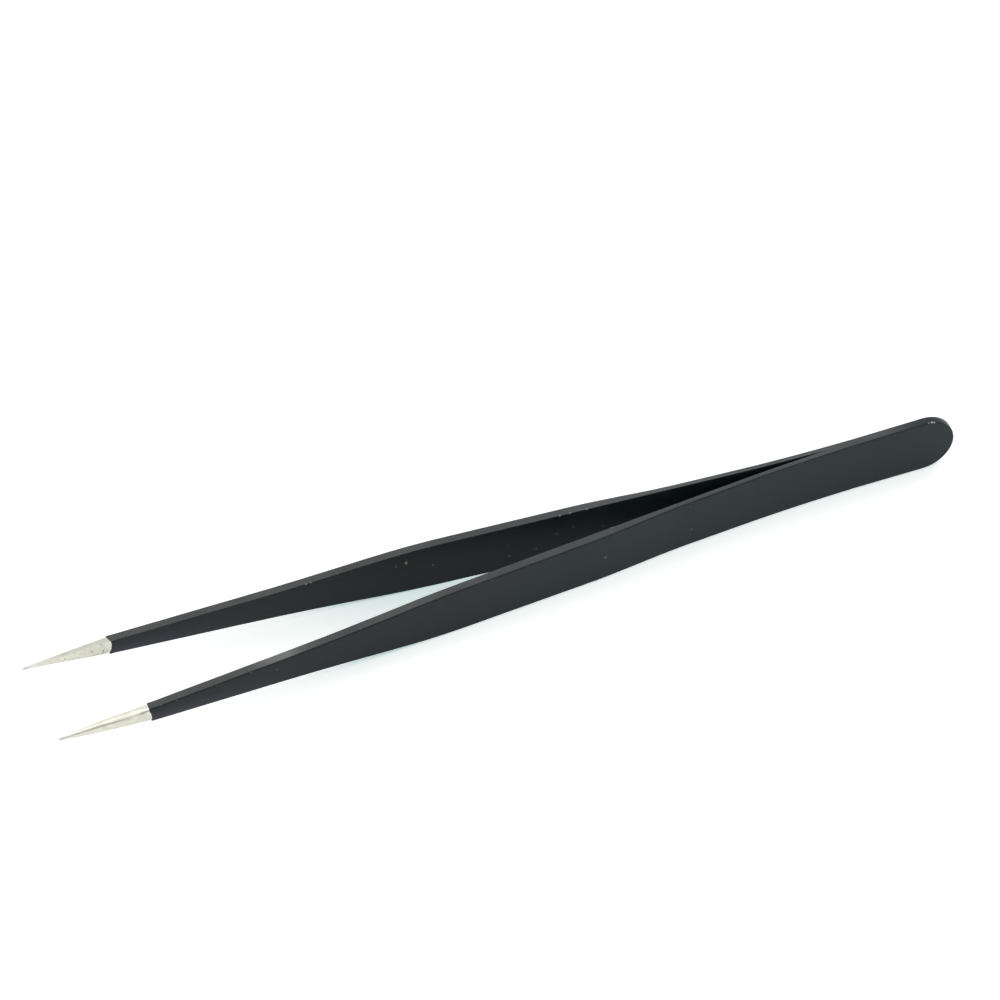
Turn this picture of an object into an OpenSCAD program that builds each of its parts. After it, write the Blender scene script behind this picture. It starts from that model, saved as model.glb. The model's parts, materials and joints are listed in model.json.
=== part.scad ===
// Precision tweezers with long needle points, coated for handling electronics.
// Two stamped spring-steel leaves are spot welded at the heel and dipped in epoxy up to the
// bare ground points. X runs along the tool with the heel at +X, Z is up, and the tool lies
// on the narrow edges of its leaves, so the near arm is at -Y and the far arm at +Y.
// Stations are distances from the heel end towards the points.

/* [Tool] */
// Overall length, heel end to points
tool_l = 140; // [130:1:150]
// Width of the coated heel
heel_w = 9.4; // [8.5:0.1:10.5]
// Width of the coated arm just behind the shoulder
shoulder_w = 8.3; // [7.8:0.1:9]
// Thickness of the epoxy coat
coat_t = 0.1; // [0.06:0.01:0.12]

/* [Leaf] */
// Steel thickness of the rear spring length
spring_t = 0.6; // [0.5:0.05:0.7]
// Steel thickness of the grip and the nose
grip_t = 1.15; // [1:0.05:1.3]
// Angle at which each arm springs away from the middle
spread_deg = 4.2; // [3.9:0.1:4.6]
// Angle between the nose of each arm and the middle
nose_deg = 2.7; // [2.4:0.1:3]

/* [Points] */
// Length of bare steel in front of the coat
bare_l = 13; // [10:0.5:16]
// Radius left at the very point
point_r = 0.15; // [0.1:0.01:0.2]

/* [Weld] */
// Diameter of a spot weld nugget
nugget_d = 3; // [2:0.1:4]
// Thickness of a nugget across the joint
nugget_t = 0.3; // [0.2:0.05:0.5]
// Distance between the two nuggets
nugget_pitch = 4.5; // [4.1:0.1:5]

/* [Flexure] */
// Station of the hinge that stands for the bending of a leaf
flex_s = 30; // [26:1:36]
// Hairline split between the two halves of a leaf at the hinge
flex_gap = 0.05; // [0.04:0.01:0.08]

/* [Hidden] */
$fn = 96;

heel_r = heel_w / 2;
mid_z = heel_r;
coat_end_s = tool_l - bare_l;
// The flat-sided leaf stops a little under the coat, and the ground cone takes over
cone_s = coat_end_s - 1;
cut_over = 1;

// Plan shape: the leaves part, curve outwards, run straight, turn in at the knee
part_s = [12, 34];
knee_s = [76, 92];
thicken_s = [42, 58];
spread_slope = tan(spread_deg);
knee_slope = tan(spread_deg) - tan(nose_deg);

// Face shape: a slow taper, then the shoulder and the long nose
shoulder_s = [77.5, 86.5];
nose_s = [94, 106];
rear_slope = (heel_w - shoulder_w) / 2 / (shoulder_s[0] - heel_r);
shoulder_slope = 0.075;
nose_ease = 0.033;

steel_c = "lightgray";
coat_c = [0.17, 0.19, 0.19];

// X of a station
function at(s) = tool_l / 2 - s;

// Distance gained by a slope that grows evenly from 0 to 1 over span, then stays 1
function ramp(s, span) =
    s <= span[0] ? 0 :
    s < span[1] ? pow(s - span[0], 2) / (2 * (span[1] - span[0])) :
    s - (span[0] + span[1]) / 2;

// 0 before span, 1 after it, with a soft start and end between
function soft_step(s, span) =
    let (k = min(1, max(0, (s - span[0]) / (span[1] - span[0]))))
    k * k * (3 - 2 * k);

// Half gap between the steel leaves, and how thick the steel is
function leaf_in(s) = spread_slope * ramp(s, part_s) - knee_slope * ramp(s, knee_s);
function leaf_t(s) = spring_t + (grip_t - spring_t) * soft_step(s, thicken_s);
function leaf_out(s) = leaf_in(s) + leaf_t(s);

// Half height of the coated face
function face_h(s) = heel_r - rear_slope * (s - heel_r)
    - shoulder_slope * ramp(s, shoulder_s) + nose_ease * ramp(s, nose_s);

// Stations that a curved stretch needs, and those of a list that lie inside lo..hi
function spaced(span, n) = [for (i = [0:n]) span[0] + (span[1] - span[0]) * i / n];
function inside(list, lo, hi) = concat([lo], [for (s = list) if (s > lo && s < hi) s], [hi]);
plan_list = concat(spaced(part_s, 11), spaced(thicken_s, 8), spaced(knee_s, 8));
face_list = concat(spaced(shoulder_s, 6), spaced(nose_s, 6));

// Plan of one leaf between two stations, with grow added to both faces
module leaf_plan(lo, hi, grow) {
    list = inside(plan_list, lo, hi);
    n = len(list) - 1;
    polygon(concat(
        [for (s = list) [at(s), leaf_in(s) - grow]],
        [for (i = [0:n]) [at(list[n - i]), leaf_out(list[n - i]) + grow]]));
}

// Outline of the leaf's face seen square on, rear half with the round heel included
module face_outline(hi, grow) {
    list = inside(face_list, heel_r, hi);
    n = len(list) - 1;
    polygon(concat(
        [for (s = list) [at(s), face_h(s) - coat_t + grow]],
        [for (i = [0:n]) [at(list[n - i]), -(face_h(list[n - i]) - coat_t + grow)]]));
    translate([at(heel_r), 0]) circle(r = heel_r - coat_t + grow);
}

// A solid with the given plan whose sides follow the face outline
module in_face(hi, grow) {
    intersection() {
        linear_extrude(heel_w) children();
        translate([0, tool_l, mid_z])
            rotate([90, 0, 0])
                linear_extrude(2 * tool_l) face_outline(hi, grow);
    }
}

// Steel of one far-side leaf between two stations; grow = coat_t gives its coated size
module leaf(lo, hi, grow = 0) {
    in_face(hi, grow) leaf_plan(lo, hi, grow);
}

// Both nuggets, as discs across the weld plane
module nugget_discs() {
    for (i = [0:1])
        translate([at(heel_r + i * nugget_pitch), nugget_t / 2, mid_z])
            rotate([90, 0, 0])
                cylinder(d = nugget_d, h = nugget_t);
}

// Rear half of the far-side leaf, pocketed for the nuggets
module tang() {
    difference() {
        leaf(0, flex_s - flex_gap / 2);
        nugget_discs();
    }
}

// Ground point: a cone whose side towards the other arm is ground flat
module ground_point() {
    run = tool_l - cone_s;
    root_h = face_h(cone_s) - coat_t;
    root_y = leaf_out(cone_s) - root_h;
    tip_y = leaf_in(tool_l);
    turn = atan((tip_y - root_y) / run);
    intersection() {
        translate([at(cone_s), root_y, mid_z])
            rotate([0, -90, -turn])
                cylinder(r1 = root_h, r2 = point_r, h = run / cos(turn));
        linear_extrude(heel_w)
            polygon([[at(cone_s), leaf_in(cone_s)], [at(tool_l), tip_y],
                     [at(tool_l), tip_y + heel_w], [at(cone_s), tip_y + heel_w]]);
    }
}

// Front half of the far-side leaf with its point
module blade() {
    union() {
        leaf(flex_s + flex_gap / 2, cone_s);
        ground_point();
    }
}

// Coat on the front half of the far-side leaf, open at both ends
module sleeve() {
    difference() {
        leaf(flex_s + flex_gap / 2, coat_end_s, coat_t);
        leaf(flex_s - cut_over, coat_end_s + cut_over);
    }
}

// Space between the coated leaves behind the hinge
module crotch_space() {
    list = [for (s = inside(plan_list, 0, flex_s + cut_over)) if (leaf_in(s) > coat_t) s];
    first_s = part_s[0] + sqrt(2 * coat_t * (part_s[1] - part_s[0]) / spread_slope);
    n = len(list) - 1;
    translate([0, 0, -cut_over])
        linear_extrude(heel_w + 2 * cut_over)
            polygon(concat(
                [[at(first_s), 0]],
                [for (s = list) [at(s), leaf_in(s) - coat_t]],
                [for (i = [0:n]) [at(list[n - i]), -(leaf_in(list[n - i]) - coat_t)]]));
}

// Plan of the whole coated heel
module heel_plan() {
    list = inside(plan_list, 0, flex_s - flex_gap / 2);
    n = len(list) - 1;
    polygon(concat(
        [for (s = list) [at(s), leaf_out(s) + coat_t]],
        [for (i = [0:n]) [at(list[n - i]), -leaf_out(list[n - i]) - coat_t]]));
}

module near_side() {
    mirror([0, 1, 0]) children();
}

module far_tang() {
    color(steel_c) tang();
}

module near_tang() {
    color(steel_c) near_side() tang();
}

module weld_nuggets() {
    color("gray") nugget_discs();
}

// One skin round both leaves at the heel, open where the leaves leave it
module heel_coat() {
    color(coat_c) difference() {
        in_face(flex_s, coat_t) heel_plan();
        leaf(0, flex_s + cut_over);
        near_side() leaf(0, flex_s + cut_over);
        crotch_space();
    }
}

module far_blade() {
    color(steel_c) blade();
}

module near_blade() {
    color(steel_c) near_side() blade();
}

module far_coat() {
    color(coat_c) sleeve();
}

module near_coat() {
    color(coat_c) near_side() sleeve();
}

near_tang();
far_tang();
weld_nuggets();
heel_coat();
near_blade();
near_coat();
far_blade();
far_coat();
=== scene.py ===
# %% [markdown]
# # Coated precision tweezers
#
# The tool is two stamped leaves of spring steel, welded together at the heel, dipped in black
# epoxy and left bare at the ground needle points. It lies on the narrow edges of its leaves.
# X runs from the points to the heel, the near arm is at -Y, and Z is up.
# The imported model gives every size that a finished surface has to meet, so it is loaded first,
# and its box is kept to compare with the box of the dressed tool at the end.

# %% Load the frame
import json
import math

import bmesh
import bpy
import numpy as np
from mathutils import Matrix, Vector

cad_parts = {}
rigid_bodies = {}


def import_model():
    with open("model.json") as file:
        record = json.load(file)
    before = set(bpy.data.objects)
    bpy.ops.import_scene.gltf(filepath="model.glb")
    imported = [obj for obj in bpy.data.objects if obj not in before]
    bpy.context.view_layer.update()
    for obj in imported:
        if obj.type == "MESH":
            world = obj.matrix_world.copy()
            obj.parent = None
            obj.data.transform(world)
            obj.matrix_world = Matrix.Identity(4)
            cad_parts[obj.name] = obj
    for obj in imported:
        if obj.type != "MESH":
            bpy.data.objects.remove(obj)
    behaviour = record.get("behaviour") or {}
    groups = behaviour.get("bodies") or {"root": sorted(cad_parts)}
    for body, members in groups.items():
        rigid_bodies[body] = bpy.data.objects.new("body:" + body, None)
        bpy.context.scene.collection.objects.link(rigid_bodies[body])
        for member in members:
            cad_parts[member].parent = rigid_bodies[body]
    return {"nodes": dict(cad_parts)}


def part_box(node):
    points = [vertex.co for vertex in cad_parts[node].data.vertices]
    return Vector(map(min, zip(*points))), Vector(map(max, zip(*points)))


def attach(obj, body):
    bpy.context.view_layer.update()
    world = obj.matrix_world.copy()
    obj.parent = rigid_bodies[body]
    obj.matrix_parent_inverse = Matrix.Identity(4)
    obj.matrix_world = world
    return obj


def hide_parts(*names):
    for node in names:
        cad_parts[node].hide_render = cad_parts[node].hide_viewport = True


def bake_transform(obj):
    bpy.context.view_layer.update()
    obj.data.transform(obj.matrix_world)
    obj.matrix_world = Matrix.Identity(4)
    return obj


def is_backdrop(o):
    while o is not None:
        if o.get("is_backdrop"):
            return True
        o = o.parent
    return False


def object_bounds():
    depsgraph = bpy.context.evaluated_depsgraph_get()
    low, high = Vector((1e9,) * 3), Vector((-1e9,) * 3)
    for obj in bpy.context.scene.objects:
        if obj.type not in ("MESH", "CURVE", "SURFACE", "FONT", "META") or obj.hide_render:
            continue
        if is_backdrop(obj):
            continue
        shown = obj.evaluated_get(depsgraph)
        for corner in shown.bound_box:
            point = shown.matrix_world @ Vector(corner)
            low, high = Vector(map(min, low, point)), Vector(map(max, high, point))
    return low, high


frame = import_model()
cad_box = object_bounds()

MM = 0.001

# %% [markdown]
# ## Sizes
#
# A drawing of tweezers gives distances from the heel end, called stations here. Lengths are in
# millimetres while a shape is worked out, and become metres when the mesh is made.
# What can be measured on the frame is measured: length, widths, coat thickness, and the
# station where the coat stops. The stations of the bends are the maker's, as on the drawing.

# %% Sizes taken from the frame
heel_low, heel_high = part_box("heel_coat")
_, tang_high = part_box("far_tang")
sleeve_low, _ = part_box("far_coat")
blade_low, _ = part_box("far_blade")

HEEL_X = heel_high.x / MM
TOOL_L = HEEL_X - blade_low.x / MM
HEEL_R = (heel_high.z - heel_low.z) / 2 / MM
MID_Z = (heel_high.z + heel_low.z) / 2 / MM
COAT_T = (heel_high.x - tang_high.x) / MM
COAT_END = HEEL_X - sleeve_low.x / MM

PART = (12.0, 34.0)
THICKEN = (42.0, 58.0)
KNEE = (76.0, 92.0)
SHOULDER = (77.5, 86.5)
NOSE = (94.0, 106.0)
SPRING_T = 0.60
GRIP_T = 1.15
SPREAD = math.tan(math.radians(4.2))
NOSE_TURN = SPREAD - math.tan(math.radians(2.7))
SHOULDER_W = 8.3
REAR_SLOPE = (2 * HEEL_R - SHOULDER_W) / 2 / (SHOULDER[0] - HEEL_R)
SHOULDER_SLOPE = 0.075
NOSE_EASE = 0.033
print(f"length {TOOL_L:.2f}  heel radius {HEEL_R:.3f}  coat {COAT_T:.3f}  coat ends at {COAT_END:.2f}")

# %% [markdown]
# ## The leaf as a rule
#
# A leaf has no corners in plan: each bend is a stretch over which the slope changes evenly.
# One function, the distance gained while a slope grows from 0 to 1, gives every bend of the
# plan and of the face outline, so the two arms and the coat follow the same rule.

# %% Plan and face of a leaf
def ramp(s, span):
    """0 before span, then (s - start)^2 / (2 * length of span), then a straight line of slope 1."""
    a, b = span
    return np.where(s <= a, 0, np.where(s < b, (s - a) ** 2 / (2 * (b - a)), s - (a + b) / 2))


def soft_step(s, span):
    """0 before span and 1 after it, along 3k^2 - 2k^3 with k the share of span that is passed."""
    k = np.clip((s - span[0]) / (span[1] - span[0]), 0, 1)
    return k * k * (3 - 2 * k)


def leaf_in(s):
    """Half gap between the steel leaves: the spread starts at PART and eases off at KNEE."""
    return SPREAD * ramp(s, PART) - NOSE_TURN * ramp(s, KNEE)


def leaf_out(s):
    """Outer face of the steel: the inner face plus the thickness, which grows over THICKEN."""
    return leaf_in(s) + SPRING_T + (GRIP_T - SPRING_T) * soft_step(s, THICKEN)


def face_h(s):
    """Half height of the coated face: round heel, slow taper, then shoulder and nose slopes."""
    s = np.asarray(s, float)
    round_end = np.sqrt(np.clip(HEEL_R ** 2 - (HEEL_R - s) ** 2, 0, None))
    taper = HEEL_R - REAR_SLOPE * (s - HEEL_R)
    taper = taper - SHOULDER_SLOPE * ramp(s, SHOULDER) + NOSE_EASE * ramp(s, NOSE)
    return np.where(s < HEEL_R, round_end, taper)


print("gap at the points", round(float(2 * leaf_in(TOOL_L)), 2), "mm")

# %% [markdown]
# ## Uneven by hand
#
# Nothing dipped or ground by hand is dead straight. A few sine waves of unlike lengths, added
# with fixed phases, wander by a few hundredths of a millimetre and are the same on every run.

# %% A wandering line
def wander(u, seed, wave, reach):
    """Sum of five sines of u, their lengths falling from wave by the golden ratio, +-reach."""
    rng = np.random.default_rng(seed)
    phase = rng.uniform(0, 2 * np.pi, 5)
    total = np.zeros_like(np.asarray(u, float))
    for i in range(5):
        total = total + np.sin(2 * np.pi * u / wave * 1.618 ** i + phase[i]) * 0.75 ** i
    return reach * total / 3.05


# %% [markdown]
# ## One section for every bar
#
# Cut across, each leaf and each coat is a rounded rectangle. It could be a bevelled box, but
# then the radii could not change along the arm or differ from corner to corner. Instead every
# point of the section carries the corner that it belongs to and the direction in which that
# corner's radius pushes it, so one array of numbers gives the section at any size.

# %% Section template
def section_template(arc, flat):
    """Points round a rounded rectangle in (y, z), inner side at -y.

    Each row is (corner y, corner z, push y, push z, closeness to an edge). A point lies at the
    centre of its corner's arc, or part of the way to the next one, plus push times radius.
    """
    rows = []
    corners = [(-1, -1, 180), (1, -1, 270), (1, 1, 0), (-1, 1, 90)]
    for (cy, cz, first), (next_y, next_z, _) in zip(corners, corners[1:] + corners[:1]):
        for turn in np.radians(first + np.linspace(0, 90, arc)):
            rows.append((cy, cz, math.cos(turn), math.sin(turn), 1.0))
        side = math.radians(first + 90)
        for k in flat:
            rows.append((cy + (next_y - cy) * k, cz + (next_z - cz) * k,
                         math.cos(side), math.sin(side), math.exp(-min(k, 1 - k) / 0.03)))
    return np.array(rows)


FLAT = (0.012, 0.035, 0.09, 0.2, 0.35, 0.5, 0.65, 0.8, 0.91, 0.965, 0.988)
SECTION = section_template(9, FLAT)
print("points round a section", len(SECTION))


# %% Section rings along an arm
def bar_rings(s, low, high, half_h, r_in, r_top, r_low):
    """Rings of a far-side bar: s along the arm, low..high across it, half_h up and down.

    r_in is the radius of both inner corners, r_top and r_low are those of the outer corners.
    s and the sizes are arrays with one row per ring and one column per point or just one
    column. Returns an array of rings x points x 3 in millimetres, in the tool's frame.
    """
    cy, cz, py, pz, _ = SECTION.T
    out, up = (cy + 1) / 2, (cz + 1) / 2
    above, below = r_in + (r_top - r_in) * out, r_in + (r_low - r_in) * out
    radius = above * up + below * (1 - up)
    outer_centre = high - r_top * up - r_low * (1 - up)
    y = (low + r_in) * (1 - out) + outer_centre * out + py * radius
    z = (half_h - above) * up - (half_h - below) * (1 - up) + pz * radius
    x = HEEL_X - s + 0 * y
    return np.stack([x, y, z + MID_Z], axis=-1)


# %% [markdown]
# ## From arrays to meshes
#
# A grid of rings becomes a mesh in one go. A bar is closed by a point at the middle of each
# end. A sleeve goes out along its outer wall and back along its inner wall, so it needs no
# ends at all. Which way the faces look is settled by the sign of the enclosed volume, because
# mirroring a leaf for the other arm turns it inside out.

# %% Mesh makers
SHARP = math.radians(35)


def enclosed_volume(points, faces):
    """Sum of the signed tetrahedra between the origin and each triangle of a fan per face."""
    total = 0.0
    for count in {len(f) for f in faces}:
        corners = points[np.array([f for f in faces if len(f) == count])]
        for i in range(1, count - 1):
            total += np.einsum("ij,ij->i", corners[:, 0],
                               np.cross(corners[:, i], corners[:, i + 1])).sum() / 6
    return total


def make_mesh(name, points, faces, **marks):
    """Mesh object from points in millimetres, faces outwards, doubles merged, edges checked.

    Each of the marks is one number per point, kept as an attribute that materials can read.
    """
    if enclosed_volume(points, faces) < 0:
        faces = [f[::-1] for f in faces]
    mesh = bpy.data.meshes.new(name)
    mesh.from_pydata((points * MM).tolist(), [], faces)
    for key, value in marks.items():
        mesh.attributes.new(key, "FLOAT", "POINT").data.foreach_set(
            "value", np.ravel(value).astype(np.float32))
    work = bmesh.new()
    work.from_mesh(mesh)
    bmesh.ops.remove_doubles(work, verts=work.verts, dist=1e-7)
    bmesh.ops.dissolve_degenerate(work, edges=work.edges, dist=1e-8)
    open_edges = sum(1 for e in work.edges if not e.is_manifold)
    volume = work.calc_volume(signed=True) / MM ** 3
    work.to_mesh(mesh)
    work.free()
    mesh.shade_smooth()
    mesh.set_sharp_from_angle(angle=SHARP)
    piece = bpy.data.objects.new(name, mesh)
    bpy.context.collection.objects.link(piece)
    print(f"{name}: {len(mesh.polygons)} faces, {open_edges} open edges, {volume:.1f} mm3")
    return piece


def grid_faces(rings, count, wrap):
    """Quads between neighbouring rings of count points; wrap joins the last ring to the first."""
    ring = np.arange(rings if wrap else rings - 1)[:, None]
    col = np.arange(count)[None, :]
    after, beside = (ring + 1) % rings, (col + 1) % count
    quads = np.stack([ring * count + col, ring * count + beside,
                      after * count + beside, after * count + col], axis=-1)
    return quads.reshape(-1, 4).tolist()


def bar(name, rings, **marks):
    """Closed bar: rings joined by quads, each end closed by a fan to the middle of its ring."""
    n, count, _ = rings.shape
    points = np.concatenate([rings.reshape(-1, 3), [rings[0].mean(0)], [rings[-1].mean(0)]])
    faces = grid_faces(n, count, False)
    first, last = n * count, n * count + 1
    for i in range(count):
        j = (i + 1) % count
        faces.append([first, j, i])
        faces.append([last, (n - 1) * count + i, (n - 1) * count + j])
    whole = {key: np.concatenate([v.ravel(), [v[0].mean(), v[-1].mean()]])
             for key, v in marks.items()}
    return make_mesh(name, points, faces, **whole)


def sleeve(name, outer, inner, **marks):
    """Closed sleeve: the outer rings forwards and the inner rings back, joined at both ends."""
    rings = np.concatenate([outer, inner[::-1]])
    both = {key: np.concatenate([v, np.zeros(inner.shape[:2])]) for key, v in marks.items()}
    return make_mesh(name, rings.reshape(-1, 3), grid_faces(len(rings), rings.shape[1], True),
                     **both)


def on_side(rings, side):
    """The far arm is worked out at +Y; side -1 mirrors it for the near arm."""
    return rings * np.array([1, side, 1])


# %% [markdown]
# ## Where the coat stops
#
# The arms are dipped heel first, to about 13 mm from the points, and the line that the epoxy
# leaves is never quite straight or square. It is one formula with a few numbers for each arm.
# The skins end on it, and the steel just past it is paler.

# %% Coat end line
COAT_ENDS = {"far": (127.00, -0.125, 0.15, 0.275, 5), "near": (126.17, 0.15, 0.03, 0.15, 8)}


def coat_end_line(arm, level, across):
    """Station where the coat stops: middle + slant * level + lean * across + bow * level^2.

    level runs from -1 at the bottom to 1 at the top, across from -1 inside to 1 outside. A
    short wander round the section makes the line ragged.
    """
    middle, slant, lean, bow, seed = COAT_ENDS[arm]
    ragged = wander(np.arctan2(level, across) * 1.2, seed, 2.6, 0.06)
    return middle + slant * level + lean * across + bow * level ** 2 + ragged


print("coat ends", {arm: round(float(coat_end_line(arm, 1.0, 1.0)), 2) for arm in COAT_ENDS})

# %% [markdown]
# ## The steel leaves
#
# On the real tool a leaf is one piece from the heel to the needle point, so it is one mesh
# here too, in place of the two halves that the frame has. Only the last 13 mm shows.
# There the section changes from a flat bar to the ground point. The inner side stays flat and
# the outer side is ground round, one corner more than the other. Both leaves are the same
# blank, so on the one that is turned over the rounder corner is below. The two points are
# ground by hand: the grinding starts at different places, half way along they are a tenth of
# a millimetre fuller or leaner, and the near one stands a fifth of a millimetre high. Both
# end in a tip a few tenths wide.

# %% Leaf shape
LEAF_R = 0.06
POINT_H, CONE_H = 0.17, 0.0935
POINT_T, CONE_T = 0.25, 0.0818
GRIND = {"far": (125.5, 130.5), "near": (124.3, 128.8)}
ROUNDNESS = {"far": (0.50, 0.82), "near": (0.82, 0.50)}
TIP_ROUND = 0.22
SWELL = {"far": (-0.11, 0.08), "near": (0.10, 0.10)}
LIFT = {"far": 0.0, "near": 0.20}
LIFT_SPAN = (COAT_END, COAT_END + 6)
TOP_SHADE = {"far": 1.0, "near": 0.976}


def leaf_sizes(s, arm):
    """Inner face, outer face, half height and corner radii (inner, top, low) of the steel at s.

    The point is a nearly straight taper: its end size plus CONE times the distance from the
    end, plus SWELL half way along, wherever that is less than the stamped size.
    """
    back = np.clip(TOOL_L - s, 0, None)
    share = np.clip(back / (TOOL_L - COAT_END), 0, 1)
    swell_h, swell_t = (4 * k * share * (1 - share) for k in SWELL[arm])
    half_h = np.minimum(face_h(s) - COAT_T, POINT_H + CONE_H * back + swell_h)
    thick = np.minimum(leaf_out(s) - leaf_in(s), POINT_T + CONE_T * back + swell_t)
    tip = np.sqrt(np.clip(1 - (np.clip(TIP_ROUND - back, 0, None) / TIP_ROUND) ** 2, 1e-4, 1))
    half_h, thick = half_h * tip, thick * (0.3 + 0.7 * tip)
    r_in = np.minimum(LEAF_R, 0.2 * np.minimum(thick, half_h))
    least = np.minimum(thick, half_h)
    ground = [np.maximum(k * least - LEAF_R, 0) for k in ROUNDNESS[arm]]
    radii = [np.minimum(LEAF_R + k * soft_step(s, GRIND[arm]), 0.98 * np.minimum(half_h, thick - r_in))
             for k in ground]
    return leaf_in(s), leaf_in(s) + thick, half_h, r_in, *radii


def make_leaf(arm, side, seed):
    """Leaf from heel to point, with rings every half millimetre and every tenth on the point.

    Its attributes tell the steel where it faces up or down (narrow), which it darkens as a
    painted shade, how far it is past the coat (bare), and where it looks down and inwards, which
    it darkens as a painted shade too.
    """
    s = np.concatenate([np.linspace(COAT_T, 6, 30)[:-1], np.arange(6, 124, 0.5),
                        np.arange(124, TOOL_L - TIP_ROUND, 0.1),
                        TOOL_L - TIP_ROUND * (1 - np.sin(np.linspace(0, np.pi / 2, 9)))])[:, None]
    low, high, half_h, *radii = leaf_sizes(s, arm)
    free = soft_step(s, (COAT_END - 2, COAT_END + 1)) * np.clip((TOOL_L - s) / 6, 0.1, 1)
    half_h = half_h * (1 + free * wander(s, seed, 7.0, 0.02))
    high = high + free * wander(s, seed + 1, 5.0, 0.015)
    rings = bar_rings(s, low, high, half_h, *radii)
    rings[..., 2] += LIFT[arm] * soft_step(s, LIFT_SPAN)
    # How far each point faces up or down, which the steel turns into a painted shade, set per arm by
    # TOP_SHADE.
    narrow = np.broadcast_to(np.abs(SECTION[:, 3]) * TOP_SHADE[arm], rings.shape[:2])
    bare = s - coat_end_line(arm, SECTION[:, 1], SECTION[:, 0])
    # Painted shade: the lower inner side of the point is darkened, fading out towards its end.
    under = (1 - SECTION[:, 1]) / 2 * (1 - SECTION[:, 0]) / 2
    under = under * np.clip((TOOL_L - s) / 9 - 0.2, 0, 1)
    return bar(f"{arm}_leaf", on_side(rings, side), narrow=narrow, bare=bare, under=under)


far_leaf = make_leaf("far", 1, 11)
near_leaf = make_leaf("near", -1, 23)

# %% [markdown]
# ## The coat on the arms
#
# The epoxy is a tenth of a millimetre thick and rounds every edge. It is a real sleeve, with
# an inner wall on the steel, so its end shows as a rim with a faint bead along it. How much
# handling wear and a painted highlight pale the narrow edges is given station by station, with
# the palest stretch, mostly painted highlight, on the near arm's nose. A painted reflection of
# the floor on the lower side of the nose is an attribute too, since both follow the arm and not
# a pattern.

# %% Arm skins
SPLIT = 16.0
EDGE_R = 0.25
INNER_R = 0.07
SEAM_R = 0.01
RIM = 0.14
# Paleness of the narrow edges by station: handling wear and a painted highlight, the highlight
# strongest on the near arm's nose.
EDGE_WEAR_AND_HIGHLIGHT = {"far": [(16, 0.29), (26, 0.31), (42, 0.34), (56, 0.30), (70, 0.25), (90, 0.24),
                     (100, 0.28), (127, 0.30)],
             "near": [(16, 0.28), (24, 0.24), (40, 0.23), (60, 0.25), (80, 0.26), (90, 0.31),
                      (96, 0.22), (102, 0.38), (105, 0.74), (108, 0.66), (111, 0.33),
                      (117, 0.27), (127, 0.29)]}
# Span of the nose that carries a painted reflection of the floor, a pale lilac sheen.
PAINTED_SHEEN_SPAN = (94.0, 128.0)


def make_skin(arm, side, seed):
    """Sleeve of coat from SPLIT to the coat's end line, thinning to nothing in a round rim."""
    end = coat_end_line(arm, SECTION[:, 1], SECTION[:, 0])
    share = np.concatenate([np.arange(SPLIT, 125, 0.5), np.linspace(125, COAT_END - RIM, 9)])
    rim = np.sin(np.linspace(0, np.pi / 2, 7)[1:]) * RIM
    straight = share[:, None] + (end - COAT_END) * soft_step(share, (110, COAT_END - RIM))[:, None]
    s = np.concatenate([straight, end - RIM + rim[:, None]])
    past = np.clip((s - (end - RIM)) / RIM, 0, 1)
    bead = 0.03 * np.exp(-((end - s) / 0.5) ** 2)
    thick = (COAT_T + bead) * np.sqrt(np.clip(1 - past ** 2, 0, 1))
    thick = thick * (1 + 0.08 * wander(s, seed, 9.0, 1.0) * soft_step(s, (20, 30)))
    low, high, half_h, r_in, *radii = leaf_sizes(np.minimum(s, TOOL_L), arm)
    open_up = soft_step(s, (18.2, 24))
    outer = bar_rings(s, np.maximum(low - thick, 0), high + thick, half_h + thick,
                      SEAM_R + (INNER_R - SEAM_R) * open_up * (thick / COAT_T).clip(0, 1),
                      *[np.maximum(EDGE_R * (thick / COAT_T).clip(0.5, 1),
                                   np.minimum(r + thick * 0.9, 0.38)) for r in radii])
    inner = bar_rings(s, np.maximum(low - 0.002, 0.002), high + 0.002, half_h + 0.002,
                      np.minimum(r_in, 0.05), *radii)
    edge = np.broadcast_to(SECTION[:, 4], s.shape) * (thick > 0.05)
    narrow = np.broadcast_to(np.abs(SECTION[:, 3]), s.shape)
    # Wear and painted highlight on the narrow edges, from the table above.
    worn = np.interp(s, *zip(*EDGE_WEAR_AND_HIGHLIGHT[arm]))
    # Painted reflection of the floor on the lower side of the nose.
    haze = soft_step(s, PAINTED_SHEEN_SPAN) * ((1 - SECTION[:, 1]) / 2) ** 1.6
    return sleeve(f"{arm}_skin", on_side(outer, side), on_side(inner, side), edge=edge,
                  narrow=narrow, worn=worn, haze=haze)


far_skin = make_skin("far", 1, 6)
near_skin = make_skin("near", -1, 9)

# %% [markdown]
# ## The coat round the heel
#
# At the heel the skin closes over both leaves and ends in a half circle. Rings along the tool
# would bunch up at the round end. So the section of the edge is carried round the outline
# instead, and each point of it is tied back to the middle line, which gives even flat faces.
# The wall's inner side is made in the same way from the outline of the steel.

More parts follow.
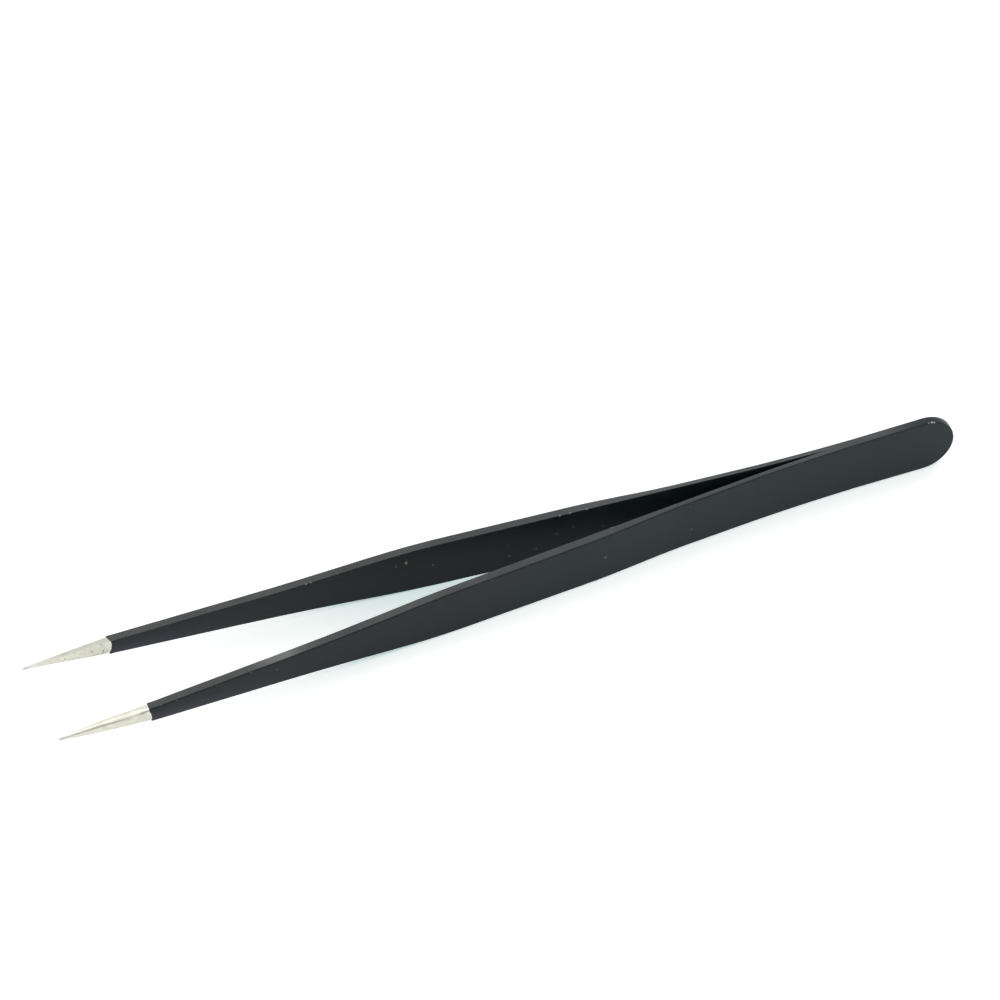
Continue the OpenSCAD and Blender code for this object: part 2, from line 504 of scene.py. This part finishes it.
# %% Heel skin
def plate_grid(rim_r, half_t, grow, path):
    """Half-section of a flat plate carried round the heel outline.

    path holds, for each step, the spine point and the outward direction and reach. The half
    section runs from the spine on the near face, over the rounded edge, to the far face.
    """
    spine_s, spine_z, out_s, out_z, reach = path
    reach = reach + grow
    turn = np.linspace(-np.pi / 2, np.pi / 2, 17)
    half = len(turn) // 2
    face = [(k * (reach - rim_r), half_t, math.exp(-(1 - k) / 0.03), 0.0)
            for k in (0, 0.25, 0.5, 0.75, 0.9, 0.96)]
    rows = [(far, -y, edge, narrow) for far, y, edge, narrow in face]
    for i, angle in enumerate(turn):
        y = np.sign(i - half) * (half_t - rim_r) + math.sin(angle) * rim_r
        rows.append((reach - rim_r + math.cos(angle) * rim_r, y, 0.3 if i == half else 1.0,
                     math.cos(angle)))
    rows += face[::-1]
    away = np.stack([row[0] for row in rows], axis=1)
    across, edge, narrow = (np.broadcast_to([row[i] for row in rows], away.shape)
                            for i in (1, 2, 3))
    s = spine_s[:, None] + out_s[:, None] * away
    z = spine_z[:, None] + out_z[:, None] * away
    points = np.stack([HEEL_X - s, across, z + MID_Z], axis=-1)
    # The heel's edges get wear and painted highlight, and no painted reflection.
    marks = {"edge": edge, "narrow": narrow, "worn": 0.28 * soft_step(s, (3.5, 13.0)),
             "haze": 0 * s}
    return points, marks


def heel_path():
    """Along the top edge to the heel, round the half circle, and back along the bottom edge."""
    s = np.linspace(SPLIT, HEEL_R, 24)
    turn = np.linspace(0, np.pi, 49)[1:-1]
    flat, round_part = np.ones_like(s), np.ones_like(turn)
    spine_s = np.concatenate([s, HEEL_R * round_part, s[::-1]])
    out_s = np.concatenate([0 * flat, -np.sin(turn), 0 * flat])
    out_z = np.concatenate([flat, np.cos(turn), -flat])
    reach = np.concatenate([face_h(s), HEEL_R * round_part, face_h(s[::-1])])
    return spine_s, 0 * spine_s, out_s, out_z, reach


def make_heel_skin(name):
    """Outer and inner plate grids, joined along the open end, with the spine points merged."""
    path = heel_path()
    half_t = float(leaf_out(0.0)) + COAT_T
    outer, marks = plate_grid(EDGE_R, half_t, 0.0, path)
    inner, _ = plate_grid(LEAF_R, half_t - COAT_T, -COAT_T, path)
    rows, cols, _ = outer.shape

    def index(layer, i, j):
        return layer * rows * cols + i * cols + j

    faces = []
    for i in range(rows - 1):
        for j in range(cols - 1):
            quad = [(i, j), (i, j + 1), (i + 1, j + 1), (i + 1, j)]
            faces.append([index(0, a, b) for a, b in quad])
            faces.append([index(1, a, b) for a, b in quad[::-1]])
    for i, flip in ((0, False), (rows - 1, True)):
        for j in range(cols - 1):
            quad = [index(0, i, j), index(1, i, j), index(1, i, j + 1), index(0, i, j + 1)]
            faces.append(quad[::-1] if flip else quad)
    points = np.concatenate([outer.reshape(-1, 3), inner.reshape(-1, 3)])
    both = {key: np.concatenate([v.ravel(), 0 * v.ravel()]) for key, v in marks.items()}
    return make_mesh(name, points, faces, **both)


heel_skin = make_heel_skin("heel_skin")

# %% [markdown]
# ## Small marks, made once
#
# Dust, grain and lengthwise scratches turn up on both the coat and the steel, at their own
# sizes. Each is a node group that reads the object's own coordinates, so a mark stays on the
# metal when an arm moves, and each material places it with its own numbers.

# %% Node helpers
def add(tree, kind, inputs=None, **settings):
    """A node with its settings and with its inputs linked or set to values."""
    made = tree.nodes.new(kind)
    for key, value in settings.items():
        setattr(made, key, value)
    for key, value in (inputs or {}).items():
        if isinstance(value, bpy.types.NodeSocket):
            tree.links.new(value, made.inputs[key])
        else:
            made.inputs[key].default_value = value
    return made


def calc(tree, operation, a, b=0.0, clamp=False):
    """The output of a Math node."""
    return add(tree, "ShaderNodeMath", {0: a, 1: b}, operation=operation,
               use_clamp=clamp).outputs[0]


def spread_out(tree, value, low, high, to_low=0.0, to_high=1.0):
    """Value taken from low..high to to_low..to_high, held at the ends."""
    return add(tree, "ShaderNodeMapRange",
               {"Value": value, "From Min": low, "From Max": high,
                "To Min": to_low, "To Max": to_high}).outputs["Result"]


def mix_colour(tree, share, a, b):
    """Colour a where share is 0 and b where it is 1."""
    return add(tree, "ShaderNodeMix", {"Factor": share, 6: a, 7: b}, data_type="RGBA").outputs[2]


def object_place(tree):
    """The object's own coordinates, in metres."""
    return add(tree, "ShaderNodeTexCoord").outputs["Object"]


def new_group(name, inputs, outputs):
    """Empty shader group with float inputs (name: default) and float outputs."""
    group = bpy.data.node_groups.new(name, "ShaderNodeTree")
    for key in inputs:
        group.interface.new_socket(key, in_out="INPUT", socket_type="NodeSocketFloat")
    for key in outputs:
        group.interface.new_socket(key, in_out="OUTPUT", socket_type="NodeSocketFloat")
    source = group.nodes.new("NodeGroupInput")
    sink = group.nodes.new("NodeGroupOutput")
    for item in group.interface.items_tree:
        if item.in_out == "INPUT":
            item.default_value = inputs[item.name]
    return group, source.outputs, sink.inputs


def place(tree, group, **values):
    """The outputs of a group put into a material with its own values."""
    return add(tree, "ShaderNodeGroup", values, node_tree=group).outputs


# %% Group: specks
def speck_group():
    """Round specks: a speck is where the nearest cell centre is closer than its own radius.

    Cells per metre sets how close they lie, Radius their size in cells, Share how many show.
    """
    group, given, out = new_group("specks", {"Cells": 900.0, "Radius": 0.1, "Share": 0.2,
                                             "Shift": 0.0}, ["Mask"])
    spot = add(group, "ShaderNodeVectorMath", {0: object_place(group), 1: given["Shift"]},
               operation="ADD").outputs[0]
    bend = add(group, "ShaderNodeTexNoise", {"Vector": spot, "Scale": 9000.0, "Detail": 1.0})
    nudge = add(group, "ShaderNodeVectorMath", {0: bend.outputs["Color"], "Scale": 0.00012},
                operation="SCALE").outputs[0]
    spot = add(group, "ShaderNodeVectorMath", {0: spot, 1: nudge}, operation="ADD").outputs[0]
    cell = add(group, "ShaderNodeTexVoronoi", {"Vector": spot, "Scale": given["Cells"]})
    parts = add(group, "ShaderNodeSeparateColor", {"Color": cell.outputs["Color"]}).outputs
    shown = calc(group, "LESS_THAN", parts[0], given["Share"])
    size = calc(group, "MULTIPLY", given["Radius"], calc(group, "ADD", parts[1], 0.35))
    inside = calc(group, "SUBTRACT", size, cell.outputs["Distance"])
    soft = spread_out(group, calc(group, "DIVIDE", inside, size), 0.0, 0.4)
    strength = calc(group, "MULTIPLY_ADD", parts[2], 0.6)
    group.nodes[-1].inputs[2].default_value = 0.4
    mask = calc(group, "MULTIPLY", calc(group, "MULTIPLY", shown, soft), strength)
    group.links.new(mask, out["Mask"])
    return group


# %% Group: grain
def grain_group():
    """Fine bumps of one size with a broad slow change, both from noise, as 0..1 values."""
    group, given, out = new_group("grain", {"Fine": 2500.0, "Broad": 150.0},
                                  ["Height", "Patch"])
    where = object_place(group)
    fine = add(group, "ShaderNodeTexNoise",
               {"Vector": where, "Scale": given["Fine"], "Detail": 3.0, "Roughness": 0.55})
    broad = add(group, "ShaderNodeTexNoise",
                {"Vector": where, "Scale": given["Broad"], "Detail": 2.0})
    group.links.new(fine.outputs[0], out["Height"])
    group.links.new(spread_out(group, broad.outputs[0], 0.35, 0.65), out["Patch"])
    return group


# %% Group: lengthwise lines
def line_group():
    """Lines along the tool: noise stretched along X, cut off below Level, as 0..1 values."""
    group, given, out = new_group("lines", {"Length": 120.0, "Width": 9000.0, "Level": 0.6},
                                  ["Mask", "Wave"])
    stretch = add(group, "ShaderNodeCombineXYZ",
                  {"X": given["Length"], "Y": given["Width"], "Z": given["Width"]}).outputs[0]
    spot = add(group, "ShaderNodeVectorMath", {0: object_place(group), 1: stretch},
               operation="MULTIPLY").outputs[0]
    noise = add(group, "ShaderNodeTexNoise", {"Vector": spot, "Scale": 1.0, "Detail": 2.5})
    top = calc(group, "ADD", given["Level"], 0.08)
    group.links.new(spread_out(group, noise.outputs[0], given["Level"], top), out["Mask"])
    group.links.new(noise.outputs[0], out["Wave"])
    return group


# %% Group: one mark
def mark_group():
    """One ragged mark: 1 within Size of the point (X, Y, Z), fading out at its torn rim."""
    group, given, out = new_group("mark", {"X": 0.0, "Y": 0.0, "Z": 0.0, "Size": 0.0002,
                                           "Strength": 1.0}, ["Mask"])
    centre = add(group, "ShaderNodeCombineXYZ",
                 {"X": given["X"], "Y": given["Y"], "Z": given["Z"]}).outputs[0]
    where = object_place(group)
    away = add(group, "ShaderNodeVectorMath", {0: where, 1: centre},
               operation="DISTANCE").outputs["Value"]
    torn = add(group, "ShaderNodeTexNoise", {"Vector": where, "Scale": 5000.0, "Detail": 2.0})
    share = calc(group, "DIVIDE", away, given["Size"])
    share = calc(group, "ADD", share, spread_out(group, torn.outputs[0], 0.3, 0.7, -0.6, 0.6))
    mask = spread_out(group, share, 1.0, 0.45)
    group.links.new(calc(group, "MULTIPLY", mask, given["Strength"]), out["Mask"])
    return group


SPECKS, GRAIN, LINES, MARK = speck_group(), grain_group(), line_group(), mark_group()
print("groups", [g.name for g in (SPECKS, GRAIN, LINES, MARK)])

# %% [markdown]
# ## Satin black epoxy
#
# The coat is nearly black, and what is seen of it is mostly reflection, so its roughness
# matters more than its colour. It has a fine orange peel, faint drag marks from the pouch and
# a little dust, and looks a little bluer and thicker towards the heel. Its narrow edges are
# paler from wear and from a painted highlight, strongest on the nose, and the lower side of the
# nose carries a painted reflection of the floor, a pale lilac sheen. A few knocks show as pale
# marks on the faces and the inner edges, and three pale spots lie on the near arm's top edge
# at the heel end.

# %% Marks on the coat
MARKS = [("far", "inside", 83.0, 0.50, 0.30, 0.45), ("far", "inside", 84.5, 0.45, 0.20, 0.15),
         ("far", "inside", 79.0, 0.05, 0.20, 0.20), ("far", "inside", 67.5, -0.40, 0.24, 0.22),
         ("far", "inside", 63.5, -0.35, 0.18, 0.25), ("far", "inside", 60.5, 0.15, 0.30, 0.12),
         ("far", "inside", 58.0, 0.30, 0.14, 0.30), ("far", "inside", 53.5, 0.00, 0.16, 0.18),
         ("far", "top", 60.0, -0.95, 0.20, 0.40), ("far", "top", 58.5, -0.90, 0.20, 0.35),
         ("far", "top", 56.0, -0.95, 0.20, 0.40), ("near", "top", 54.0, -1.00, 0.20, 0.35),
         ("near", "outside", 55.5, 0.00, 0.26, 0.16), ("near", "outside", 41.5, -0.30, 0.20, 0.14),
         ("near", "outside", 46.5, -0.90, 0.22, 0.10), ("near", "outside", 107.0, 0.30, 0.22, 0.10),
         ("far", "top", 97.9, -0.95, 0.20, 0.30), ("far", "top", 97.2, -0.95, 0.16, 0.30),
         # The three near-arm rows that follow are pale spots on the top edge at the heel end.
         ("near", "top", 4.1, 0.74, 0.14, 0.40), ("near", "top", 3.6, 0.74, 0.20, 0.95),
         ("near", "top", 3.2, 0.74, 0.20, 0.95)]


def mark_place(arm, face, s, k):
    """Point of the coated surface at station s, in metres; k runs from -1 to 1 over the face."""
    inner = max(float(leaf_in(s)) - COAT_T, 0)
    outer, high = float(leaf_out(s)) + COAT_T, float(face_h(s))
    across = {"inside": inner, "outside": outer}.get(face, inner + (outer - inner) * (k + 1) / 2)
    up = high if face == "top" else high * k
    side = 1 if arm == "far" else -1
    return (HEEL_X - s) * MM, side * across * MM, (MID_Z + up) * MM


def all_marks(tree):
    """The greatest of all the marks, each an instance of the mark group."""
    total = 0.0
    for arm, face, s, k, size, strength in MARKS:
        x, y, z = mark_place(arm, face, s, k)
        one = place(tree, MARK, X=x, Y=y, Z=z, Size=size * MM, Strength=strength)["Mask"]
        total = calc(tree, "MAXIMUM", one, total)
    return total


# %% Coat material
THICKER = (15.0, 85.0)


def coat_material():
    """Black epoxy: peel, wear, painted highlight and reflection, and marks feed colour, roughness and
    bump.
    """
    material = bpy.data.materials.new("satin_black_epoxy")
    material.use_nodes = True
    tree = material.node_tree
    shader = tree.nodes["Principled BSDF"]
    shader.inputs["Specular IOR Level"].default_value = 0.27
    shader.inputs["Specular Tint"].default_value = (0.87, 1.0, 0.99, 1)
    peel = place(tree, GRAIN, Fine=2300.0, Broad=140.0)
    dust = place(tree, SPECKS, Cells=900.0, Radius=0.10, Share=0.06)["Mask"]
    rub = place(tree, LINES, Length=110.0, Width=5200.0, Level=0.66)["Mask"]
    edge = add(tree, "ShaderNodeAttribute", attribute_name="edge").outputs["Fac"]
    knock = add(tree, "ShaderNodeTexNoise",
                {"Vector": object_place(tree), "Scale": 2600.0, "Detail": 3.0}).outputs[0]
    knocked = spread_out(tree, knock, 0.69, 0.73)
    chips = calc(tree, "MULTIPLY", calc(tree, "MULTIPLY", knocked, edge), 0.35)
    marks = calc(tree, "MAXIMUM", all_marks(tree), chips)
    narrow = add(tree, "ShaderNodeAttribute", attribute_name="narrow").outputs["Fac"]
    worn = add(tree, "ShaderNodeAttribute", attribute_name="worn").outputs["Fac"]
    haze = add(tree, "ShaderNodeAttribute", attribute_name="haze").outputs["Fac"]
    scuffed = spread_out(tree, calc(tree, "ADD", peel["Height"], peel["Patch"]), 0.4, 1.6, 0.8, 1.2)
    # Paler narrow edges, from wear and a painted highlight.
    worn = calc(tree, "MULTIPLY", calc(tree, "MULTIPLY", worn, scuffed),
                spread_out(tree, narrow, 0.80, 1.0))
    along = add(tree, "ShaderNodeSeparateXYZ", {0: object_place(tree)}).outputs["X"]
    thicker = spread_out(tree, along, (HEEL_X - THICKER[1]) * MM, (HEEL_X - THICKER[0]) * MM)
    base = mix_colour(tree, peel["Patch"], (0.0025, 0.0055, 0.0055, 1), (0.0045, 0.0085, 0.0085, 1))
    base = mix_colour(tree, thicker, base, (0.0075, 0.0145, 0.0180, 1))
    # Painted reflection: a pale lilac sheen on the lower side of the nose.
    base = mix_colour(tree, haze, base, (0.036, 0.035, 0.056, 1))
    base = mix_colour(tree, worn, base, (0.180, 0.177, 0.177, 1))
    base = mix_colour(tree, calc(tree, "MULTIPLY", rub, 0.25), base, (0.045, 0.050, 0.050, 1))
    base = mix_colour(tree, dust, base, (0.06, 0.065, 0.065, 1))
    base = mix_colour(tree, marks, base, (0.50, 0.51, 0.48, 1))
    rough = spread_out(tree, peel["Patch"], 0.0, 1.0, 0.30, 0.38)
    rough = calc(tree, "ADD", rough, calc(tree, "MULTIPLY", rub, 0.10))
    rough = calc(tree, "ADD", rough, calc(tree, "MULTIPLY", dust, 0.30), clamp=True)
    height = calc(tree, "SUBTRACT", peel["Height"], calc(tree, "MULTIPLY", marks, 3.0))
    height = calc(tree, "ADD", height, calc(tree, "MULTIPLY", dust, 2.0))
    bump = add(tree, "ShaderNodeBump", {"Height": height, "Strength": 1.0, "Distance": 5e-6})
    tree.links.new(base, shader.inputs["Base Color"])
    tree.links.new(rough, shader.inputs["Roughness"])
    tree.links.new(bump.outputs[0], shader.inputs["Normal"])
    return material


# %% [markdown]
# ## Ground steel
#
# The points are ground along their length and left bare. Their steel is a warm light grey
# with fine lengthwise lines and small pits, the larger ones given one by one on the far point.
# A strip next to the coat is paler. The edges that look up and down are darker, a painted
# shade, and rougher, the lower inner side is darker too, a painted shade that fades out towards
# the end, the last few millimetres are greyer from use, and the very end of the point is
# darker still.

# %% Pits on the far point
PITS = [(129.8, 0.01, 0.19, 0.95), (130.0, 0.45, 0.13, 0.55), (130.2, 0.25, 0.11, 0.45),
        (133.8, 0.00, 0.15, 0.85), (131.5, 0.17, 0.13, 0.65), (128.1, -0.36, 0.24, 0.75),
        (127.8, -0.10, 0.15, 0.35), (129.0, -0.70, 0.18, 0.50), (128.4, 0.93, 0.15, 0.60),
        (128.2, -0.75, 0.22, 0.55), (130.6, -0.85, 0.16, 0.40), (131.6, -0.85, 0.14, 0.30)]


def all_pits(tree):
    """The greatest of the pits, given as station, place up the inner face, radius, strength."""
    total = 0.0
    for s, k, size, strength in PITS:
        low, _, half_h, *_ = (float(v) for v in leaf_sizes(s, "far"))
        one = place(tree, MARK, X=(HEEL_X - s) * MM, Y=low * MM, Z=(MID_Z + k * half_h) * MM,
                    Size=size * MM, Strength=strength)["Mask"]
        total = calc(tree, "MAXIMUM", one, total)
    return total


# %% Steel material
USED = ((6.0, 1.0), (1.3, 0.5))


def steel_material():
    """Bare spring steel: lines, pits and place feed colour, roughness and bump."""
    material = bpy.data.materials.new("ground_spring_steel")
    material.use_nodes = True
    tree = material.node_tree
    shader = tree.nodes["Principled BSDF"]
    shader.inputs["Metallic"].default_value = 1.0
    lines = place(tree, LINES, Length=260.0, Width=11000.0, Level=0.52)
    cloud = place(tree, GRAIN, Fine=9000.0, Broad=900.0)
    pits = place(tree, SPECKS, Cells=1300.0, Radius=0.18, Share=0.14, Shift=0.013)["Mask"]
    pits = calc(tree, "MAXIMUM", pits, all_pits(tree))
    bare = add(tree, "ShaderNodeAttribute", attribute_name="bare").outputs["Fac"]
    # A strip of steel just past the coat's end is paler.
    pale_strip = spread_out(tree, bare, 0.50, 0.20)
    # Painted shade: the edges of the points that face up or down are darkened.
    narrow = add(tree, "ShaderNodeAttribute", attribute_name="narrow").outputs["Fac"]
    narrow = spread_out(tree, narrow, 0.93, 0.995)
    under = add(tree, "ShaderNodeAttribute", attribute_name="under").outputs["Fac"]
    along = add(tree, "ShaderNodeSeparateXYZ", {0: object_place(tree)}).outputs["X"]
    from_tip = calc(tree, "ADD", along, (TOOL_L - HEEL_X) * MM)
    used, worked = (spread_out(tree, from_tip, far * MM, close * MM) for far, close in USED)
    base = mix_colour(tree, cloud["Patch"], (0.72, 0.725, 0.615, 1), (0.83, 0.84, 0.72, 1))
    base = mix_colour(tree, calc(tree, "MULTIPLY", lines["Mask"], 0.30), base,
                      (0.50, 0.50, 0.43, 1))
    # Painted shade on the lower inner side of the points.
    base = mix_colour(tree, calc(tree, "MULTIPLY", under, 0.40), base, (0.50, 0.50, 0.43, 1))
    base = mix_colour(tree, calc(tree, "MULTIPLY", pale_strip, 0.8), base, (0.82, 0.83, 0.81, 1))
    base = mix_colour(tree, calc(tree, "MULTIPLY", narrow, 0.85), base, (0.49, 0.49, 0.44, 1))
    base = mix_colour(tree, calc(tree, "MULTIPLY", used, 0.7), base, (0.76, 0.765, 0.73, 1))
    base = mix_colour(tree, calc(tree, "MULTIPLY", worked, 0.4), base, (0.46, 0.46, 0.45, 1))
    base = mix_colour(tree, pits, base, (0.24, 0.23, 0.19, 1))
    rough = spread_out(tree, lines["Wave"], 0.3, 0.7, 0.26, 0.38)
    rough = calc(tree, "ADD", rough, calc(tree, "MULTIPLY", narrow, 0.2))
    rough = calc(tree, "ADD", rough, calc(tree, "MULTIPLY", pits, 0.3), clamp=True)
    height = calc(tree, "SUBTRACT", lines["Wave"], calc(tree, "MULTIPLY", pits, 2.0))
    bump = add(tree, "ShaderNodeBump", {"Height": height, "Strength": 1.0, "Distance": 4e-6})
    tree.links.new(base, shader.inputs["Base Color"])
    tree.links.new(rough, shader.inputs["Roughness"])
    tree.links.new(bump.outputs[0], shader.inputs["Normal"])
    return material


# %% [markdown]
# ## Weld metal
#
# The nuggets stay as the frame has them, under the coat. Metal that has melted and set again
# is dull, with straw and blue-grey heat colours and a coarse grain.

# %% Weld material
def weld_material():
    """Set weld metal: coarse grain with heat tints."""
    material = bpy.data.materials.new("weld_metal")
    material.use_nodes = True
    tree = material.node_tree
    shader = tree.nodes["Principled BSDF"]
    shader.inputs["Metallic"].default_value = 1.0
    grain = place(tree, GRAIN, Fine=6000.0, Broad=1200.0)
    pits = place(tree, SPECKS, Cells=2500.0, Radius=0.3, Share=0.3)["Mask"]
    base = mix_colour(tree, grain["Patch"], (0.30, 0.29, 0.30, 1), (0.42, 0.36, 0.27, 1))
    base = mix_colour(tree, pits, base, (0.08, 0.07, 0.06, 1))
    rough = spread_out(tree, grain["Height"], 0.3, 0.7, 0.45, 0.65)
    bump = add(tree, "ShaderNodeBump", {"Height": grain["Height"], "Distance": 2e-5})
    tree.links.new(base, shader.inputs["Base Color"])
    tree.links.new(rough, shader.inputs["Roughness"])
    tree.links.new(bump.outputs[0], shader.inputs["Normal"])
    return material


COAT, STEEL, WELD = coat_material(), steel_material(), weld_material()

# %% [markdown]
# ## Who moves with what
#
# The heel stands still and each arm turns about its own flexure. Each leaf and its coat take
# the place of the frame's tang, blade and coat, and the heel's skin is attached to the heel.
# The nuggets keep their solid from the frame.


for side in ("near", "far"):
    leaf = bpy.data.objects[f"{side}_leaf"]
    skin = bpy.data.objects[f"{side}_skin"]
    leaf.data.materials.append(STEEL)
    skin.data.materials.append(COAT)
    for piece in (leaf, skin):
        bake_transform(piece)
    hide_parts(f"{side}_tang", f"{side}_blade")
    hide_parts(f"{side}_coat")

heel_skin.data.materials.append(COAT)
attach(heel_skin, "heel")
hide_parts("heel_coat")

nuggets = frame["nodes"]["weld_nuggets"]
nuggets.data.materials.clear()
nuggets.data.materials.append(WELD)

# %% [markdown]
# ## Floor
#
# The tool rests on the widest parts of its lower edges, the heel and the two shoulders. The
# leaves taper between them, so the floor touches both and leans by less than half a degree.
# It is a pale table under soft light. What the camera and reflections see of it is brighter
# than what it throws back on the tool, so that it reads as white and keeps its shadow. To the
# camera it has a colour of its own and a faint glow, which tint the shadow blue-green. Its red
# is above 1, which no real table gives back, and so it is never used for light on the tool.

# %% Pale floor
FLOOR_HALF, FLOOR_CELLS = 1500.0, 24
FLOOR_TABLE = (0.86, 0.86, 0.86, 1)
FLOOR_SEEN = (1.20, 0.93, 0.96, 1)
LIFT_SEEN = (0.18, 0.385, 0.355, 1)
LIFT_MIRRORED = (0.20, 0.20, 0.20, 1)


def floor_height(x):
    """Height of the plane through the lowest points of the heel and of the shoulders, in mm."""
    return REAR_SLOPE * (HEEL_X - HEEL_R - x) - 0.01


def floor_material():
    """Pale diffuse table, seen brighter than it shines on the tool, so that it reads as white."""
    material = bpy.data.materials.new("pale_table")
    material.use_nodes = True
    tree = material.node_tree
    tree.nodes.clear()
    path = add(tree, "ShaderNodeLightPath").outputs
    camera = path["Is Camera Ray"]
    mirrored = calc(tree, "MAXIMUM", path["Is Glossy Ray"], path["Is Transmission Ray"])
    seen = calc(tree, "MAXIMUM", camera, mirrored)
    colour = mix_colour(tree, camera, FLOOR_TABLE, FLOOR_SEEN)
    lift = mix_colour(tree, camera, LIFT_MIRRORED, LIFT_SEEN)
    plain = add(tree, "ShaderNodeBsdfDiffuse", {"Color": colour}).outputs[0]
    glow = add(tree, "ShaderNodeEmission", {"Color": lift, "Strength": seen}).outputs[0]
    both = add(tree, "ShaderNodeAddShader", {0: plain, 1: glow}).outputs[0]
    add(tree, "ShaderNodeOutputMaterial", {"Surface": both})
    return material


def make_floor():
    """Square grid whose height follows floor_height."""
    side = FLOOR_CELLS + 1
    line = np.linspace(-FLOOR_HALF, FLOOR_HALF, side)
    x, y = np.meshgrid(line, line, indexing="ij")
    points = np.stack([x, y, floor_height(x)], axis=-1).reshape(-1, 3) * MM
    i, j = np.meshgrid(np.arange(FLOOR_CELLS), np.arange(FLOOR_CELLS), indexing="ij")
    first = i * side + j
    quads = np.stack([first, first + side, first + side + 1, first + 1], axis=-1).reshape(-1, 4)
    mesh = bpy.data.meshes.new("table_top")
    mesh.from_pydata(points.tolist(), [], quads.tolist())
    mesh.materials.append(floor_material())
    table = bpy.data.objects.new("table_top", mesh)
    bpy.context.collection.objects.link(table)
    return table


make_floor()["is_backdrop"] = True

# %% [markdown]
# ## Light
#
# An even white room lights the tool, and gives a flat white card the value that it is painted.
# Three cards are there for reflections alone. A bright one behind the tool lights its top
# edges, one overhead puts the light strip on the round of the points, and a dark one low in
# front gives rounded edges and points the dark line that steel needs to read as steel.

# %% Room and cards
AZIMUTH, ELEVATION, ROLL = (math.radians(a) for a in (-22.523, 47.294, -0.529))
CENTRE = np.array([0.0, 0.0, MID_Z * MM])
CARD_AWAY = 1.4


def direction(azimuth, elevation):
    """Unit vector from the tool towards a point seen at that azimuth and elevation."""
    return np.array([math.sin(azimuth) * math.cos(elevation),
                     -math.cos(azimuth) * math.cos(elevation), math.sin(elevation)])


def facing(location, target):
    """World matrix at location whose -Z axis looks at target, +Y as upright as can be."""
    turn = Vector(target - location).to_track_quat("-Z", "Y")
    return Matrix.Translation(Vector(location)) @ turn.to_matrix().to_4x4()


def light_room():
    """World of one even white."""
    world = bpy.data.worlds.new("white_room")
    world.use_nodes = True
    shade = world.node_tree.nodes["Background"]
    shade.inputs["Color"].default_value = (1, 1, 1, 1)
    shade.inputs["Strength"].default_value = 1.0
    bpy.context.scene.world = world


def reflector(name, azimuth, elevation, half_w, half_h, low, high):
    """Card at CARD_AWAY metres that faces the tool, glows and shows only in reflections.

    Its strength goes evenly from low at its bottom edge to high at its top edge.
    """
    mesh = bpy.data.meshes.new(name)
    mesh.from_pydata([(-half_w, -half_h, 0), (half_w, -half_h, 0), (half_w, half_h, 0),
                      (-half_w, half_h, 0)], [], [(0, 1, 2, 3)])
    card = bpy.data.objects.new(name, mesh)
    card.matrix_world = facing(CENTRE + direction(azimuth, elevation) * CARD_AWAY, CENTRE)
    card.visible_camera = False
    card.visible_diffuse = False
    card.visible_shadow = False
    bpy.context.collection.objects.link(card)
    material = bpy.data.materials.new(name)
    material.use_nodes = True
    tree = material.node_tree
    tree.nodes.clear()
    up = add(tree, "ShaderNodeSeparateXYZ", {0: object_place(tree)}).outputs["Y"]
    strength = spread_out(tree, up, -half_h, half_h, low, high)
    glow = add(tree, "ShaderNodeEmission", {"Color": (1, 1, 1, 1), "Strength": strength})
    add(tree, "ShaderNodeOutputMaterial", {"Surface": glow.outputs[0]})
    mesh.materials.append(material)
    card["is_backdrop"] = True


light_room()
reflector("bright_card", AZIMUTH + math.pi, math.radians(50), 0.50, 0.45, 1.5, 1.5)
reflector("top_card", AZIMUTH, math.radians(82), 0.90, 0.80, 1.33, 1.33)
reflector("dark_card", AZIMUTH, math.radians(20), 0.9, 0.55, 0.0, 0.50)

# %% [markdown]
# ## Camera
#
# A long lens from 1.5 m keeps the two arms nearly parallel to the eye. The camera looks down
# at 47 degrees from the near side, a little from the points' end, and is set off the middle
# of the tool so that there is more room above it than below.

# %% Camera
DISTANCE, LENS, SENSOR = 1.5, 379.53, 36.0
SLIDE_RIGHT, SLIDE_UP = -0.264 * MM, 9.664 * MM


def make_camera():
    """Camera whose axes are right, up and back, turned by the roll and slid in its own plane."""
    back = direction(AZIMUTH, ELEVATION)
    level = np.array([math.cos(AZIMUTH), math.sin(AZIMUTH), 0.0])
    upright = np.cross(back, level)
    right = math.cos(ROLL) * level - math.sin(ROLL) * upright
    up = math.sin(ROLL) * level + math.cos(ROLL) * upright
    spot = CENTRE + back * DISTANCE + right * SLIDE_RIGHT + up * SLIDE_UP
    data = bpy.data.cameras.new("camera")
    data.lens, data.sensor_width = LENS, SENSOR
    data.clip_start, data.clip_end = 0.05, 20
    camera = bpy.data.objects.new("camera", data)
    pose = np.eye(4)
    pose[:3, 0], pose[:3, 1], pose[:3, 2], pose[:3, 3] = right, up, back, spot
    camera.matrix_world = Matrix(pose.tolist())
    bpy.context.collection.objects.link(camera)
    bpy.context.scene.camera = camera
    return camera


make_camera()
bpy.context.scene.view_settings.view_transform = "Standard"

# %% [markdown]
# ## The size of the dressed tool
#
# The dressed tool must not outgrow the frame, so the sizes of both boxes are printed.

# %% Boxes
looks_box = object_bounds()
boxes = {"cad": [list(corner) for corner in cad_box], "looks": [list(corner) for corner in looks_box]}
for name, (low, high) in boxes.items():
    print(name, "size in mm", [round((b - a) / MM, 2) for a, b in zip(low, high)])
